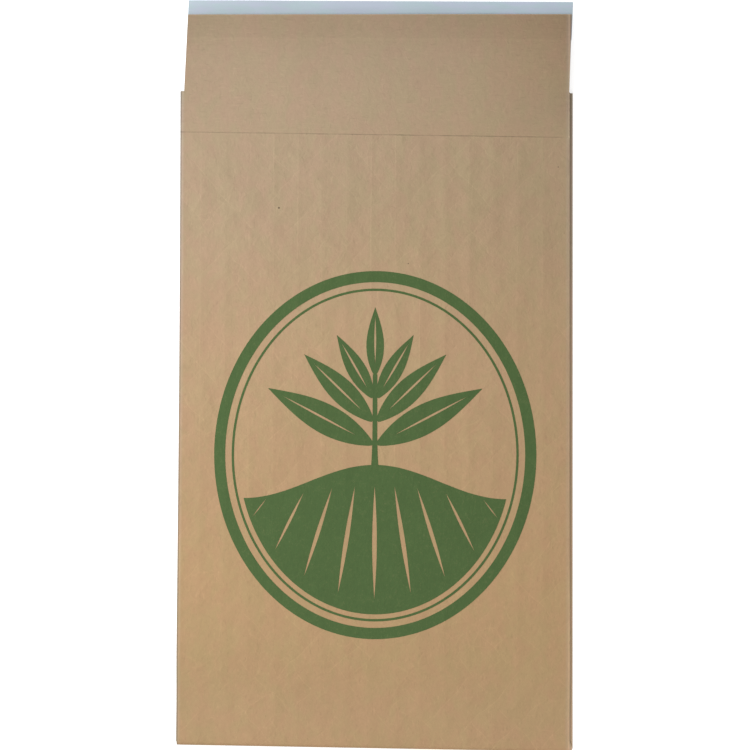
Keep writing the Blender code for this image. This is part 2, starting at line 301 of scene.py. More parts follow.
class MailerPaperSettings(bpy.types.PropertyGroup):
    """Sizes and colours of the folded kraft sheet."""

    rib_pitch: length_setting("Rib pitch", "Distance between two ribs of the padding", 0.01893)
    rib_height: length_setting("Rib height", "Height of a rib from its foot to its crest", 0.00040)
    wave_height: length_setting("Wave height", "Half the height of the sheet's slow waves", 0.00030)
    line_depth: length_setting("Line depth", "Depth of the groove where the padding ends", 0.00022)
    kraft: colour_setting("Kraft", "Colour of the kraft paper", (0.475, 0.322, 0.188))
    fibre: level_setting("Fibre", "Strength of the fibres and flecks in the paper", 1.0)


class MailerPrintSettings(bpy.types.PropertyGroup):
    """Sizes and colour of the print."""

    ink: colour_setting("Ink", "Colour of the ink on kraft", (0.0785, 0.1325, 0.0403))
    film: length_setting("Ink film", "Thickness of the ink's film", 0.00007)
    lift: length_setting("Ink lift", "Height of the ink's upper face above the paper", 0.00011)
    show_through: level_setting("Show-through", "How much kraft shows between the ink's grains", 0.10)


class MailerClosureSettings(bpy.types.PropertyGroup):
    """Colours and waviness of the release liner and the adhesive."""

    liner: colour_setting("Liner", "Colour of the release liner", (0.470, 0.545, 0.615))
    adhesive: colour_setting("Adhesive", "Colour of the adhesive strip", (0.620, 0.560, 0.420))
    liner_wave: length_setting("Liner wave", "Half the height of the waves in the liner's free edge", 0.00016)


class MailerStageSettings(bpy.types.PropertyGroup):
    """Floor and light of the studio."""

    floor: colour_setting("Floor", "Colour of the floor", (0.80, 0.80, 0.80))
    ambient: level_setting("Ambient", "Strength of the even light from all round", 0.42)
    lamps: level_setting("Lamps", "Strength of all lamps together", 1.0)


def ramp(value, start, end):
    """0 at the start, 1 at the end, and half a cosine wave between them."""
    return (1 - np.cos(np.pi * np.clip((value - start) / (end - start), 0.0, 1.0))) / 2


def arch(value, start, end):
    """0 at the start and the end, and half a sine wave up to 1 between them."""
    return np.sin(np.pi * np.clip((value - start) / (end - start), 0.0, 1.0))


def loft(station):
    """0 over the glued bottom, then eased up to 1 where the sleeve is fully open."""
    return ramp(station, GLUE_LENGTH, GLUE_LENGTH + PINCH_LENGTH)


def front_height(station):
    """Outer face of the front: low over the glued bottom, then eased up to the sleeve's loft."""
    return PINCHED_TOP + (LOFTED_TOP - PINCHED_TOP) * loft(station)


def back_height(station):
    """Outer face of the back: on the folded tab, then eased down to the thickness of the seam's lap."""
    return PINCHED_BACK + (SEAM_LAP - PINCHED_BACK) * ramp(station, TAB_LENGTH, TAB_LENGTH + BACK_DROP)


def flap_height(reach):
    """Outer face of the flap: a parabola down to the end of its bend, then straight."""
    bent = np.clip(reach, 0.0, FLAP_BEND)
    return LOFTED_TOP - FLAP_FALL * (bent**2 / (2 * FLAP_BEND) + np.maximum(reach - FLAP_BEND, 0.0))


def drift(x, y, pitch, seed):
    """Smooth noise from -1 to 1: seeded values on a lattice, eased from each corner to the next."""
    values = np.random.default_rng(seed).uniform(-1.0, 1.0, (LATTICE, LATTICE))
    u, v = x / pitch[0] + LATTICE_SHIFT[0], y / pitch[1] + LATTICE_SHIFT[1]
    i, j = np.floor(u).astype(int), np.floor(v).astype(int)
    s, t = ramp(u - i, 0, 1), ramp(v - j, 0, 1)
    left, right = i % LATTICE, (i + 1) % LATTICE
    low, high = j % LATTICE, (j + 1) % LATTICE
    below = values[left, low] * (1 - s) + values[right, low] * s
    above = values[left, high] * (1 - s) + values[right, high] * s
    return below * (1 - t) + above * t


def waves(x, y, drifts):
    """The sum of several drifts, each with its own pitch, seed and strength."""
    return sum(strength * drift(x, y, pitch, seed) for pitch, seed, strength in drifts)


def past_line(x, station):
    """How far a place lies beyond the line where the padding ends, which slants more than the cuts."""
    return station + LINE_SLOPE * x - LINE_Y


def padding_relief(x, station, paper, seed):
    """Ribs along the sleeve: (1 - 2 w) squared at w pitches from a crest, sharp crests and round hollows.

    Their height drifts, and fades to the left and the bottom. Beyond the line there are none.
    """
    wander = RIB_WANDER * drift(x, station, RIB_WANDER_PITCH, seed)
    place = (x + RIB_START) / paper.rib_pitch + wander
    off = np.hypot(place - np.round(place), CREST_BLUNTNESS)
    scallop = (1 - 2 * off) ** 2 - 1 / 3
    patches = 0.80 + 0.50 * drift(x, station, RIB_PATCH_PITCH, seed + 1)
    leftward = ramp(x, 0.09, -0.11)
    upward = ramp(station, 0.06, 0.36)
    fade = (0.55 + 0.45 * upward) * (1 - 0.50 * leftward * upward)
    padded = ramp(past_line(x, station), 0.0, -LINE_FADE)
    return scallop * patches * fade * padded * paper.rib_height


def front_relief(x, station, paper):
    """Relief of the front's outer face: ribs, slow waves that calm down at the creases, and a groove.

    The groove is a bell curve across the line where the padding ends, and its depth drifts along it.
    """
    calm = ramp(np.abs(x), FRONT_EDGE, FRONT_EDGE - CALM_EDGE)
    free = (0.25 + 0.75 * calm) * (0.35 + 0.65 * loft(station))
    swell = paper.wave_height * waves(x, station, SHEET_WAVES) * free
    depth = paper.line_depth * (0.75 + 0.25 * drift(x, 0 * x, GROOVE_PITCH, GROOVE_SEED))
    groove = depth * np.exp(-((past_line(x, station) / GROOVE_REACH) ** 2))
    return padding_relief(x, station, paper, FRONT_RIBS_SEED) + swell - groove


def flap_relief(x, reach, paper):
    """Relief of the flap: the front's waves, the step up onto the adhesive, and corners that curl down."""
    over_adhesive = OVER_ADHESIVE * ramp(reach, 0.0405, 0.0427)
    curl = CORNER_CURL * ramp(np.abs(x), 0.100, 0.150) * ramp(reach, 0.0, FLAP_LENGTH)
    return front_relief(x, BODY_LENGTH + reach, paper) + over_adhesive - curl


def front_points(x, y, paper, lift):
    """Points of the front at panel coordinates, a little above the paper."""
    station = y + CROSS_SLOPE * x
    return np.stack([x, y, front_height(station) + front_relief(x, station, paper) + lift], axis=-1)


def to_frame(points):
    """Panel coordinates carried to the CAD frame."""
    return points + np.array([*TO_FRAME, 0.0])


def grid_faces(rows, columns, closed):
    """Quads of a grid of rows by columns, as corner numbers; closed joins the last column to the first."""
    last = columns if closed else columns - 1
    row, column = np.meshgrid(np.arange(rows - 1), np.arange(last), indexing="ij")
    here, right = row * columns + column, row * columns + (column + 1) % columns
    return np.stack([here, right, right + columns, here + columns], axis=-1).reshape(-1, 4)


def join_grids(grids, closed):
    """Points and quads of several grids, each closed or open along its columns."""
    points, quads, first = [], [], 0
    for grid, ring in zip(grids, closed):
        rows, columns = grid.shape[:2]
        points.append(grid.reshape(rows * columns, -1))
        quads.append(grid_faces(rows, columns, ring) + first)
        first += rows * columns
    return np.concatenate(points), np.concatenate(quads)


def facing_up(flat, quads):
    """Quads of a flat sheet, with those turned round whose diagonals cross clockwise."""
    corners = flat[quads]
    first, second = corners[:, 2] - corners[:, 0], corners[:, 3] - corners[:, 1]
    clockwise = first[:, 0] * second[:, 1] < first[:, 1] * second[:, 0]
    return np.where(clockwise[:, None], quads[:, ::-1], quads)


def new_piece(name, points, quads, finish):
    """A mesh object at the origin from arrays of points and quads: merged, smooth, with sharp open edges."""
    mesh = bpy.data.meshes.new(name)
    mesh.vertices.add(len(points))
    mesh.vertices.foreach_set("co", np.asarray(points, dtype=np.float32).ravel())
    mesh.loops.add(quads.size)
    mesh.loops.foreach_set("vertex_index", quads.astype(np.int32).ravel())
    mesh.polygons.add(len(quads))
    mesh.polygons.foreach_set("loop_start", np.arange(0, quads.size, 4, dtype=np.int32))
    mesh.update(calc_edges=True)
    mesh.validate()
    bm = bmesh.new()
    bm.from_mesh(mesh)
    bmesh.ops.remove_doubles(bm, verts=bm.verts, dist=0.000002)
    bm.to_mesh(mesh)
    bm.free()
    sides = np.empty(len(mesh.loops), dtype=np.int32)
    mesh.loops.foreach_get("edge_index", sides)
    mesh.edges.foreach_set("use_edge_sharp", np.bincount(sides, minlength=len(mesh.edges)) == 1)
    mesh.polygons.foreach_set("use_smooth", np.ones(len(mesh.polygons), dtype=bool))
    mesh.materials.append(finish)
    piece = bpy.data.objects.new(name, mesh)
    bpy.context.scene.collection.objects.link(piece)
    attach(piece, "root")
    return piece


def give_wall(piece, thickness, group=""):
    """Thickness on the inner side of the faces."""
    wall = piece.modifiers.new("wall", "SOLIDIFY")
    wall.thickness = thickness
    wall.offset = -1.0
    wall.use_even_offset = True
    wall.vertex_group = group


def thin_beyond_line(piece, name):
    """A vertex group of the wall's share of the padded wall: 1 up to the line, less beyond it."""
    places = np.empty(3 * len(piece.data.vertices), dtype=np.float32)
    piece.data.vertices.foreach_get("co", places)
    x, y = places.reshape(-1, 3)[:, 0] - TO_FRAME[0], places.reshape(-1, 3)[:, 1] - TO_FRAME[1]
    plain = y + CROSS_SLOPE * x > LINE_Y - WALL_STEP / 5
    group = piece.vertex_groups.new(name=name)
    group.add(np.flatnonzero(~plain).tolist(), 1.0, "REPLACE")
    group.add(np.flatnonzero(plain).tolist(), PLAIN_WALL / PADDED_WALL, "REPLACE")


def arc_columns(x, level, reach, radius, start, end, steps):
    """Columns of a fold, as x, front share and height: half an ellipse about x at a level of the section."""
    angles = np.radians(np.linspace(start, end, steps + 1))
    share, middle = FOLD_LEVELS[level]
    height = middle + radius * np.sin(angles)
    return np.stack([x + reach * np.cos(angles), np.full(steps + 1, share), height], axis=-1)


def straight_columns(start, end, steps):
    """Columns strictly between two others, evenly spaced."""
    t = np.linspace(0.0, 1.0, steps + 1)[1:-1, None]
    return start * (1 - t) + end * t


def section_columns():
    """The sleeve's section as columns of x, front share and height.

    A column's z is share * front height + (1 - share) * back height + height.
    """
    apex = HALF_WIDTH - GUSSET_DEPTH
    tuck = APEX_RADIUS + BACK_SHIFT / 2
    back_right, back_left = FRONT_EDGE + BACK_SHIFT + BACK_PLAY, BACK_SHIFT - FRONT_EDGE
    crease, tucked = (CREASE_REACH, CREASE_RADIUS), (APEX_RADIUS, APEX_RADIUS)
    across = np.append(-FRONT_EDGE, np.linspace(FLAP_LEFT, FRONT_EDGE, FRONT_COLUMNS - 1))
    front = np.stack([across, np.ones(FRONT_COLUMNS), np.zeros(FRONT_COLUMNS)], axis=-1)
    arcs = [
        arc_columns(FRONT_EDGE, "front", *crease, 90, -90, 8),
        arc_columns(apex + tuck, "middle", *tucked, 90, 270, 4),
        arc_columns(back_right, "back", *crease, 90, -90, 8),
        arc_columns(back_left, "back", *crease, 270, 90, 8),
        arc_columns(tuck - 2 * APEX_RADIUS - apex, "middle", *tucked, -90, 90, 4),
        arc_columns(-FRONT_EDGE, "front", *crease, 270, 90, 8),
    ]
    parts = [front[:-1]]
    for this, following, steps in zip(arcs, arcs[1:], GUSSET_STEPS):
        parts += [this, straight_columns(this[-1], following[0], steps)]
    return np.concatenate([*parts, arcs[-1][:-1]])


def body_stations():
    """Stations of the sleeve's rows, closer together where the wall changes and at the groove."""
    even = np.linspace(WRAP_RADIUS, BODY_LENGTH, BODY_ROWS)
    near = LINE_Y + np.linspace(-LINE_ROWS_REACH, LINE_ROWS_REACH, LINE_ROWS)
    keep = np.min(np.abs(even[:, None] - near[None, :]), axis=1) > ROW_SPACE
    return np.sort(np.concatenate([even[keep], near, [LINE_Y - WALL_STEP]]))


def left_play(x, station):
    """Sideways play of the left fold: drawn in halfway up and let out at the bottom."""
    drawn_in = arch(station, 0.10, 0.50) - ramp(station, 0.10, 0.0)
    return LEFT_PLAY * drawn_in * ramp(x, -0.110, -0.150)


def right_play(x, station):
    """Sideways play of the front's right fold: let out near the bottom and flared at the bottom fold."""
    let_out = RIGHT_PLAY * ramp(station, 0.20, 0.07) + RIGHT_FLARE * ramp(station, 0.0078, 0.0030)
    return let_out * ramp(x, 0.130, 0.150)


def gusset_play(x, share, station):
    """Upright play of the gussets' sheets: they bow a little between the crease and the tucked fold."""
    inner = (share < 1.0) & (share > 0.0)
    across = np.where(inner, arch(HALF_WIDTH - np.abs(x), 0.0, GUSSET_DEPTH), 0.0)
    bow = GUSSET_PLAY * across * loft(station) * drift(x, station, GUSSET_PITCH, GUSSET_SEED)
    return bow * np.sign(share - 0.5)


def sleeve_points(stations, paper):
    """The folded sleeve: stations by section columns, with relief on the front and the back.

    At the mouth's right end the gusset and the back stand a little further out than the front.
    """
    x, share, height, station = np.broadcast_arrays(*section_columns().T, stations[:, None])
    on_front = (share == 1.0) & (height == 0.0)
    on_back = (share == 0.0) & (height <= 1e-9)
    behind = ramp(np.abs(x - BACK_SHIFT), FRONT_EDGE, FRONT_EDGE - 0.012) * ramp(station, 0.045, 0.065)
    z = share * front_height(station) + (1 - share) * back_height(station) + height
    z = z + np.where(on_front, front_relief(x, station, paper), 0.0)
    z = z - np.where(on_back, padding_relief(x, station, paper, BACK_RIBS_SEED) * behind, 0.0)
    z = z + gusset_play(x, share, station)
    under = np.where(share == 1.0, np.clip(-height / (2 * CREASE_RADIUS), 0.0, 1.0), 1.0)
    proud = BACK_PROUD * under * ramp(x, 0.05, 0.13) * ramp(station, LINE_Y, BODY_LENGTH)
    play = left_play(x, station) + share * right_play(x, station)
    return np.stack([x + play, station - CROSS_SLOPE * x + proud, z], axis=-1)


def tab_points(paper):
    """The folded tab and the bottom fold: flat on the floor, then half a circle up to the front."""
    flat = np.linspace(TAB_LENGTH, WRAP_RADIUS, 9)[:-1]
    angles = np.radians(np.linspace(270.0, 90.0, 13))[:-1]
    y = np.concatenate([flat, WRAP_RADIUS + WRAP_RADIUS * np.cos(angles)])
    z = np.concatenate([0 * flat, WRAP_RADIUS + WRAP_RADIUS * np.sin(angles)])
    x, y, z = np.broadcast_arrays(section_columns()[:FRONT_COLUMNS, 0], y[:, None], z[:, None])
    fold = np.full(x.shape, WRAP_RADIUS)
    relief = z / PINCHED_TOP * front_relief(x, fold, paper)
    play = left_play(x, fold) + right_play(x, fold)
    return np.stack([x + play, y - CROSS_SLOPE * x, z + relief], axis=-1)


def flap_points(paper):
    """The flap: the front's columns beyond the mouth, leaning to the right and a little bent."""
    near_adhesive = [0.0385, 0.0405, 0.0410, 0.0416, 0.0422, 0.0428]
    before, after = np.linspace(0.0035, 0.0350, 9), np.linspace(0.0460, FLAP_LENGTH, 6)
    reaches = np.concatenate([before, near_adhesive, after])
    x, reach = np.broadcast_arrays(section_columns()[1:FRONT_COLUMNS, 0], reaches[:, None])
    share = reach / FLAP_LENGTH
    lean = (FLAP_LEAN - FLAP_PLAY - FLAP_TAPER * x) * share
    y = BODY_LENGTH + reach + FLAP_CUT_SLOPE * x * share - CROSS_SLOPE * x
    return np.stack([x + lean, y, flap_height(reach) + flap_relief(x, reach, paper)], axis=-1)


class MAILER_OT_sheet(bpy.types.Operator):
    """Fold the kraft sheet: sleeve, gussets, bottom tab and flap"""

    bl_idname = "mailer.sheet"
    bl_label = "Folded sheet"

    def execute(self, context):
        paper = context.scene.mailer_paper
        body = sleeve_points(body_stations(), paper)
        tab = np.concatenate([tab_points(paper), body[:1, :FRONT_COLUMNS]])
        flap = np.concatenate([body[-1:, 1:FRONT_COLUMNS], flap_points(paper)])
        points, quads = join_grids([tab, body, flap], [False, True, False])
        piece = new_piece("mailer_sheet", to_frame(points), quads, kraft_finish(paper))
        thin_beyond_line(piece, "wall")
        give_wall(piece, PADDED_WALL, "wall")
        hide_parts("mailer")
        return {"FINISHED"}


class MAILER_OT_back_seam(bpy.types.Operator):
    """Lap the sheet's two edges along the middle of the back"""

    bl_idname = "mailer.back_seam"
    bl_label = "Back seam"

    def execute(self, context):
        start, end = TAB_LENGTH + BACK_DROP, BODY_LENGTH - SEAM_MARGIN
        across, station = np.broadcast_arrays(
            np.linspace(-1.0, 1.0, SEAM_COLUMNS), np.linspace(start, end, SEAM_ROWS)[:, None]
        )
        x = across * (SEAM_WIDTH / 2 + SEAM_PLAY * drift(0 * station, station, SEAM_PITCH, SEAM_SEED))
        z = SEAM_LAP * ramp(across, -0.55, -1.0)
        points = np.stack([x, station - CROSS_SLOPE * x, z], axis=-1).reshape(-1, 3)
        quads = grid_faces(SEAM_ROWS, SEAM_COLUMNS, False)[:, ::-1]
        finish = kraft_finish(context.scene.mailer_paper)
        piece = new_piece("back_seam_lap", to_frame(points), quads, finish)
        give_wall(piece, SEAM_LAP)
        return {"FINISHED"}


def ring_points(inset, line, steps, across):
    """A band between two ellipses about the print's middle: across by around."""
    turn = np.linspace(0.0, 2 * np.pi, steps, endpoint=False)[None, :]
    depth = inset + line * np.linspace(1.0, 0.0, across + 1)[:, None]
    return np.stack([(PRINT_HALF[0] - depth) * np.cos(turn), (PRINT_HALF[1] - depth) * np.sin(turn)], axis=-1)


def leaf_grids():
    """Halves of the leaves, from the bare midrib to the edge: across by along.

    At t along a leaf its half width is foot * (1 - t) + slimness * length * sin(pi * t ** 0.85), and the
    midrib's is a sine between its two ends.
    """
    foot = HORIZON_Y + HILL_HEIGHT
    pairs = len(LEAF_ANGLES)
    rises = STEM_FOOT + (STEM_LENGTH - STEM_FOOT) / pairs * np.arange(pairs)
    side = np.array([1.0] * pairs + [-1.0] * pairs + [0.0])[:, None, None]
    rise = np.array([*rises, *rises, STEM_LENGTH])[:, None, None]
    angle = side * np.radians([*LEAF_ANGLES, *LEAF_ANGLES, 0])[:, None, None]
    length = np.array([*LEAF_LENGTHS, *LEAF_LENGTHS, TOP_LEAF_LENGTH])[:, None, None]

    t = np.linspace(0.0, 1.0, 41)
    across = np.linspace(0.0, 1.0, 5)[:, None]
    edge = LEAF_FOOT_HALF_WIDTH * (1 - t) + LEAF_SLIMNESS * length * np.sin(np.pi * t**0.85)
    rib = np.minimum(MIDRIB_HALF_WIDTH * arch(t, *MIDRIB_ENDS), edge)
    out = rib + (edge - rib) * across
    reach = length * t
    halves = []
    for offset in (out, -out):
        x = STEM_HALF_WIDTH * side + np.sin(angle) * reach + np.cos(angle) * offset
        y = foot + rise + np.cos(angle) * reach - np.sin(angle) * offset
        halves.append(np.stack([x, y], axis=-1))
    return np.concatenate(halves)


def stem_grid():
    """The stem: a strip from inside the hill to the top leaf, a little broader at its foot."""
    t = np.linspace(0.0, 1.0, 25)[None, :]
    v = np.linspace(1.0, -1.0, 3)[:, None]
    x = v * (STEM_HALF_WIDTH + STEM_FLARE * (1 - t) ** 6)
    y = HORIZON_Y + HILL_HEIGHT - STEM_ROOT + (STEM_LENGTH + STEM_ROOT) * t + 0 * v
    return np.stack([x, y], axis=-1)


def field_grids():
    """Strips of the furrowed field, one between each two bare furrows: across by down.

    A strip's point lies on the way from the horizon to the bowl, pushed off each furrow's middle by the
    furrow's half width, which is a sine between its two ends.
    """
    inset = FRAME_LINE + LINE_SPACE + INNER_LINE + FIELD_SPACE
    half_width, half_height = PRINT_HALF[0] - inset, PRINT_HALF[1] - inset
    turn = math.asin((HORIZON_Y - HILL_HEIGHT) / half_height)
    edge_x = half_width * math.cos(turn)

    def ends(place):
        angle = place * (np.pi / 2 + turn) - np.pi / 2
        top_x = edge_x * (FURROW_CROWDING * place + (1 - FURROW_CROWDING) * place**3)
        top = np.stack([top_x, HORIZON_Y + HILL_HEIGHT * np.cos(np.pi * top_x / edge_x)], axis=-1)
        foot = np.stack([half_width * np.cos(angle), half_height * np.sin(angle)], axis=-1)
        return top, foot - top

    furrows = (2 * np.arange(FURROWS) - FURROWS + 1) / FURROWS
    edges = np.concatenate([[-1.0], furrows, [1.0]])
    share = np.linspace(0.0, 1.0, 51)
    reach = ends(edges)[1]
    bare = np.where(np.abs(edges) < 1.0, FURROW_SLIMNESS * (FURROW_ENDS[1] - FURROW_ENDS[0]), 0.0)
    across = np.stack([-reach[:, 1], reach[:, 0]], axis=-1) * bare[:, None]
    push = (across[:, None, :] * arch(share, *FURROW_ENDS)[None, :, None])[:, None]

    s = np.linspace(0.0, 1.0, 7)
    tops, ways = ends(edges[:-1, None] * (1 - s) + edges[1:, None] * s)
    down = tops[:, :, None, :] + ways[:, :, None, :] * share[None, None, :, None]
    s = s[None, :, None, None]
    return down + push[:-1] * (1 - s) - push[1:] * s


def add_print(name, grids, lift, settings, paper, finish, closed=False):
    """One field of ink: flat grids laid on the front at its relief, with the film's thickness."""
    flat, quads = join_grids(grids, [closed] * len(grids))
    points = front_points(flat[:, 0] + PRINT_CENTRE[0], flat[:, 1] + PRINT_CENTRE[1], paper, lift)
    piece = new_piece(name, to_frame(points), facing_up(flat, quads), finish)
    give_wall(piece, settings.film)
    return piece


class MAILER_OT_print(bpy.types.Operator):
    """Print the front: a broad oval, a thin line inside it, and a furrowed field with a leafy sprig"""

    bl_idname = "mailer.print"
    bl_label = "Print"

    def execute(self, context):
        settings, paper = context.scene.mailer_print, context.scene.mailer_paper
        shared = (settings, paper, ink_finish(settings, paper))
        broad = [ring_points(0.0, FRAME_LINE, 360, 4)]
        thin = [ring_points(FRAME_LINE + LINE_SPACE, INNER_LINE, 360, 1)]
        oval = add_print("print_oval", broad, settings.lift, *shared, closed=True)
        thin_line = add_print("print_thin_line", thin, settings.lift, *shared, closed=True)
        ground = add_print("print_ground", field_grids(), settings.lift, *shared)
        leaves = add_print("print_leaves", leaf_grids(), settings.lift, *shared)
        stem = add_print("print_stem", [stem_grid()], settings.lift + STEM_LIFT, *shared)
        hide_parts("print_frame")
        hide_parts("print_line")
        for piece in (ground, leaves, stem):
            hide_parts("print_field")
        return {"FINISHED"}


def strip_points(half_length, start, end, depth, wave, rows, columns):
    """A strip behind the flap from one reach to another, at a depth below its face, free edge waving."""
    middle = (FLAP_LEFT + FRONT_EDGE) / 2 + FLAP_LEAN
    along, reach = np.broadcast_arrays(
        np.linspace(-half_length, half_length, columns), np.linspace(start, end, rows)[:, None]
    )
    x = middle + along + FLAP_LEAN * (reach - FLAP_LENGTH) / FLAP_LENGTH
    loose = ramp(reach, FLAP_LENGTH - 0.004, FLAP_LENGTH + 0.010)
    z = flap_height(reach) - depth + wave * loose * waves(x, reach, LINER_WAVES)
    return np.stack([x, BODY_LENGTH + reach - CROSS_SLOPE * x, z], axis=-1)


class MAILER_OT_closure(bpy.types.Operator):
    """Lay the adhesive strip under the flap's end and the release liner over it"""

    bl_idname = "mailer.closure"
    bl_label = "Adhesive and liner"

    def execute(self, context):
        settings = context.scene.mailer_closure
        half = (FRONT_EDGE - FLAP_LEFT) / 2
        seat = PLAIN_WALL + SEAT_GAP
        below = seat + ADHESIVE_THICKNESS + SEAT_GAP
        glue_start = FLAP_LENGTH - ADHESIVE_EDGE - ADHESIVE_WIDTH
        glue = strip_points(half - ADHESIVE_END, glue_start, glue_start + ADHESIVE_WIDTH, seat, 0.0, 5, 65)
        liner_end = FLAP_LENGTH + LINER_OVERHANG
        liner = strip_points(half, liner_end - LINER_WIDTH, liner_end, below, settings.liner_wave, 13, 161)
        plans = (
            ("adhesive_bead", glue, ADHESIVE_THICKNESS, adhesive_finish, "adhesive_strip", "adhesive"),
            ("liner_strip", liner, LINER_THICKNESS, liner_finish, "release_liner", "liner"),
        )
        for name, grid, thickness, finish, node, slot in plans:
            points, quads = join_grids([grid], [False])
            piece = new_piece(name, to_frame(points), quads, finish(settings))
            give_wall(piece, thickness)
            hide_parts(node)
        return {"FINISHED"}


class Amount:
    """One output of a node; sums written with it become Math nodes."""

    def __init__(self, nodes, socket):
        self.nodes = nodes
        self.socket = socket

    def other(self, output):
        """Another output of the same node."""
        return Amount(self.nodes, self.socket.node.outputs[output])

    def __add__(self, other):
        return self.nodes.math("ADD", self, other)

    def __radd__(self, other):
        return self.nodes.math("ADD", other, self)

    def __sub__(self, other):
        return self.nodes.math("SUBTRACT", self, other)

    def __rsub__(self, other):
        return self.nodes.math("SUBTRACT", other, self)

    def __mul__(self, other):
        return self.nodes.math("MULTIPLY", self, other)

    def __rmul__(self, other):
        return self.nodes.math("MULTIPLY", other, self)

    def __truediv__(self, other):
        return self.nodes.math("DIVIDE", self, other)

    def __rtruediv__(self, other):
        return self.nodes.math("DIVIDE", other, self)


class Nodes:
    """The emptied node tree of a material or a world, and one method that adds any node to it."""

    def __init__(self, owner):
        owner.use_nodes = True
        self.tree = owner.node_tree
        self.tree.nodes.clear()

    def node(self, kind, settings, inputs, output=0):
        """Add a node, with plain values or amounts as its inputs, and give one of its outputs."""
        made = self.tree.nodes.new(kind)
        for name, value in settings.items():
            setattr(made, name, value)
        for name, value in inputs.items():
            if isinstance(value, Amount):
                self.tree.links.new(value.socket, made.inputs[name])
            else:
                made.inputs[name].default_value = value
        return Amount(self, made.outputs[output]) if made.outputs else None

    def math(self, operation, *values):
        return self.node("ShaderNodeMath", {"operation": operation}, dict(enumerate(values)))

    def seen_directly(self):
        """1 for rays from the camera, a mirror or glass, 0 for light that bounces about."""
        camera = self.node("ShaderNodeLightPath", {}, {}, "Is Camera Ray")
        mirrored = self.math("MAXIMUM", camera, camera.other("Is Glossy Ray"))
        return self.math("MAXIMUM", mirrored, camera.other("Is Transmission Ray"))


class Finish(Nodes):
    """A piece's material, with short ways to write what a finish uses most."""

    def __init__(self, name):
        self.material = bpy.data.materials.new(name)
        super().__init__(self.material)
        self.place = self.node("ShaderNodeTexCoord", {}, {}, "Object")

    def noise(self, grains, detail=2.0, roughness=0.5, distortion=0.0, shift=0.0):
        """Noise about 0.5, with so many grains in a metre along x, y and z."""
        inputs = {0: self.place, 1: grains, 2: (shift, shift, 0.0)}
        place = self.node("ShaderNodeVectorMath", {"operation": "MULTIPLY_ADD"}, inputs)
        inputs = {"Vector": place, "Scale": 1.0, "Detail": detail, "Roughness": roughness}
        return self.node("ShaderNodeTexNoise", {}, {**inputs, "Distortion": distortion})

    def rise(self, value, low, high):
        """0 below low, 1 above high, smooth between them."""
        inputs = {"Value": value, "From Min": low, "From Max": high}
        return self.node("ShaderNodeMapRange", {"interpolation_type": "SMOOTHSTEP"}, inputs)

    def band(self, value, up, down):
        """A rise over one range, and a fall back to 0 over another."""
        return self.rise(value, *up) - self.rise(value, *down)

    def blend(self, share, first, second):
        """A colour between two others."""
        inputs = {0: share, 6: first, 7: second}
        return self.node("ShaderNodeMix", {"data_type": "RGBA"}, inputs, 2)

    def tinted(self, colour, tint):
        """A colour times another."""
        inputs = {0: 1.0, 6: colour, 7: tint}
        return self.node("ShaderNodeMix", {"data_type": "RGBA", "blend_type": "MULTIPLY"}, inputs, 2)

    def cast(self, colour, share, gain, start=WHITE):
        """A colour times gains of red, green and blue that go from start to gain with the share."""
        return self.tinted(colour, self.blend(share, rgba(start), rgba(gain)))

    def shaded(self, colour, amount):
        """A colour times a grey amount."""
        grey = self.node("ShaderNodeCombineColor", {}, {"Red": amount, "Green": amount, "Blue": amount})
        return self.tinted(colour, grey)

    def bump(self, height):
        """A normal bent by a height in metres."""
        return self.node("ShaderNodeBump", {}, {"Strength": 1.0, "Distance": 1.0, "Height": height})

    def finished(self, inputs):
        """Join a Principled shader with these inputs to the output, and give the material."""
        shader = self.node("ShaderNodeBsdfPrincipled", {}, inputs)
        self.node("ShaderNodeOutputMaterial", {}, {"Surface": shader})
        return self.material


def rgba(colour, gain=WHITE):
    return tuple(c * g for c, g in zip(colour, gain)) + (1.0,)


def station_of(finish):
    """Panel x and the station along the sleeve of a place in the CAD frame."""
    across = finish.node("ShaderNodeSeparateXYZ", {}, {0: finish.place})
    x = across - TO_FRAME[0]
    return x, across.other(1) - TO_FRAME[1] + x * CROSS_SLOPE


class PaperGrain:
    """What the kraft and the ink on it share: a place, fibre lines, pulp, and their height in metres.

    Fibres run along the sleeve in the padded sheet and across it in the plain band and the flap.
    """

    def __init__(self, finish, fibre):
        self.x, self.station = station_of(finish)
        self.beyond = past_line(self.x, self.station)
        self.plain = finish.rise(self.beyond, -0.0004, 0.0004)
        lengthwise = finish.noise((800.0, 130.0, 800.0), 3.0, 0.6)
        crosswise = finish.noise((130.0, 800.0, 800.0), 3.0, 0.6)
        self.fibres = lengthwise + (crosswise - lengthwise) * self.plain - 0.5
        self.pulp = finish.noise((230.0, 205.0, 220.0), 3.0, 0.55, 1.1) - 0.5
        self.height = self.fibres * (FIBRE_HEIGHT * fibre) + self.pulp * (PULP_HEIGHT * fibre)


